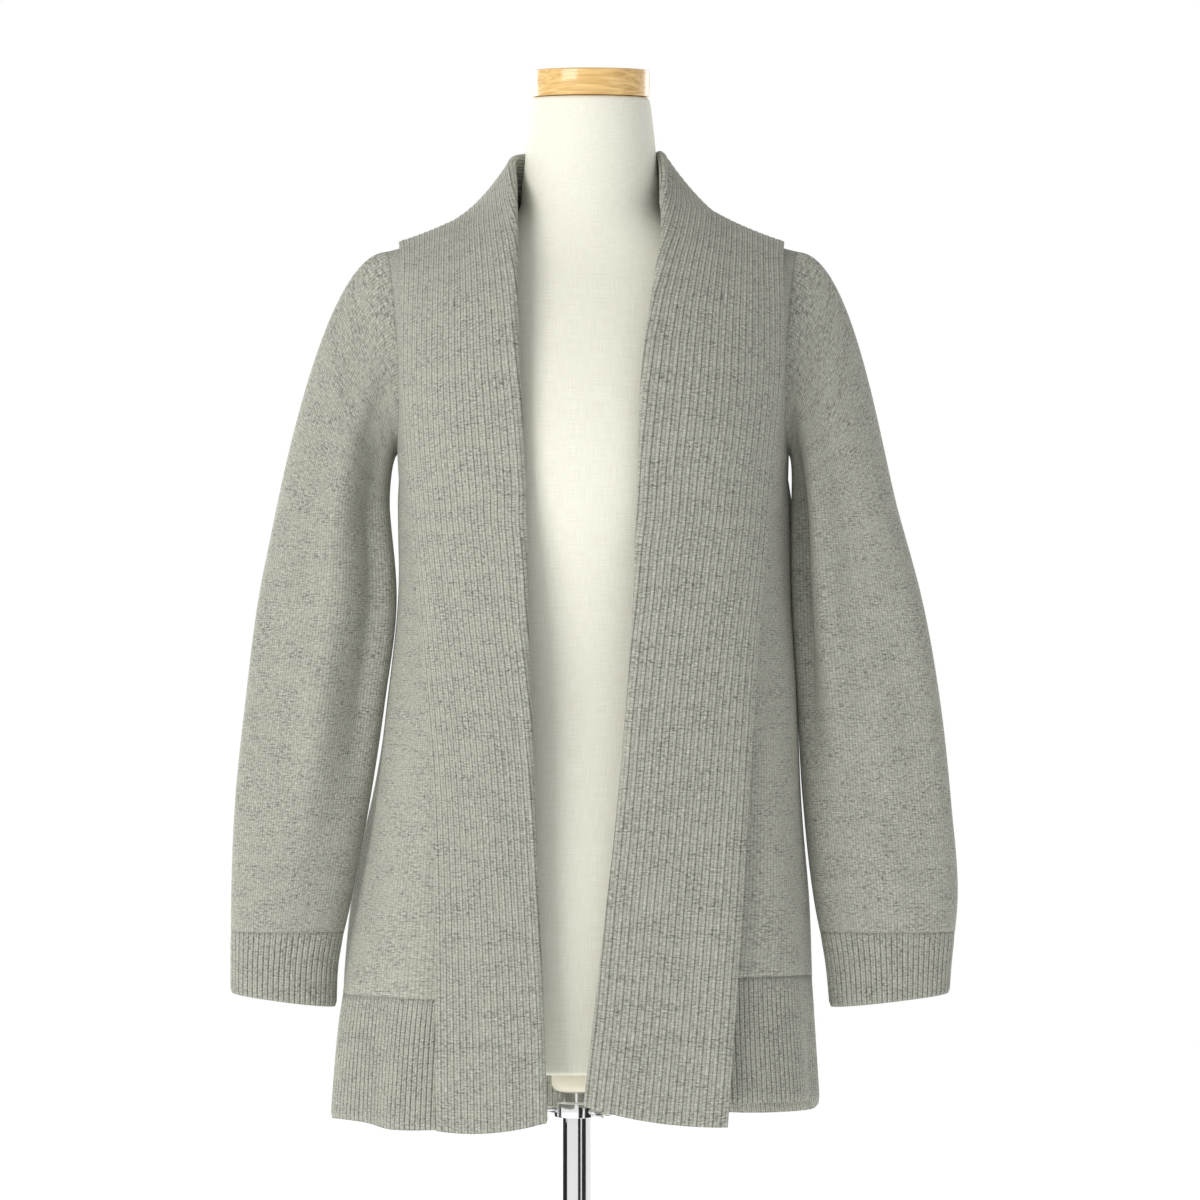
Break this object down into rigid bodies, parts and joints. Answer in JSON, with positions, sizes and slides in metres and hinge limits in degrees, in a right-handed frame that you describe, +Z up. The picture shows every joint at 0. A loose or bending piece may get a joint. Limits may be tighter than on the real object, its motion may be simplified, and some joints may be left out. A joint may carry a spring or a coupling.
{
  "type": "shawl collar cardigan on dress form",
  "caption": "Open knitted cardigan with a wide ribbed shawl collar, ribbed hem and cuffs, worn by a limbless dress form that slides on a round-based pole.",
  "frame": {"origin": "centre of the round base's underside, on the pole's axis", "axes": "+Z up along the pole, the cardigan's open fronts face -Y, the wearer's left side is +X"},
  "size_m": [0.5786, 0.35, 1.5267],
  "materials": {
    "jersey": "fine heather wool jersey, warm light grey, softly napped",
    "rib": "heather wool two-by-two rib, warm light grey",
    "linen": "off-white fine linen, stretched smooth",
    "cap_wood": "amber lacquer",
    "cream_cup": "satin cream",
    "chrome": "polished"
  },
  "bodies": {
    "stand": {"base_plate": "chrome", "base_hub": "chrome", "pole": "chrome"},
    "form": {"torso": "linen", "neck_cap": "cap_wood", "bottom_cup": "cream_cup", "clamp_collar": "chrome", "clamp_screw_left": "chrome", "clamp_screw_right": "chrome", "back": "jersey", "front_left": "jersey", "front_right": "jersey", "sleeve_left": "jersey", "sleeve_right": "jersey", "back_hem_rib": "rib", "front_left_hem_rib": "rib", "front_right_hem_rib": "rib", "cuff_left": "rib", "cuff_right": "rib", "collar_left": "rib", "collar_right": "rib"}
  },
  "joints": [
    {"name": "height", "type": "slide", "parent": "stand", "child": "form", "axis": [0, 0, 1], "range_m": [-0.15, 0.1]}
  ]
}
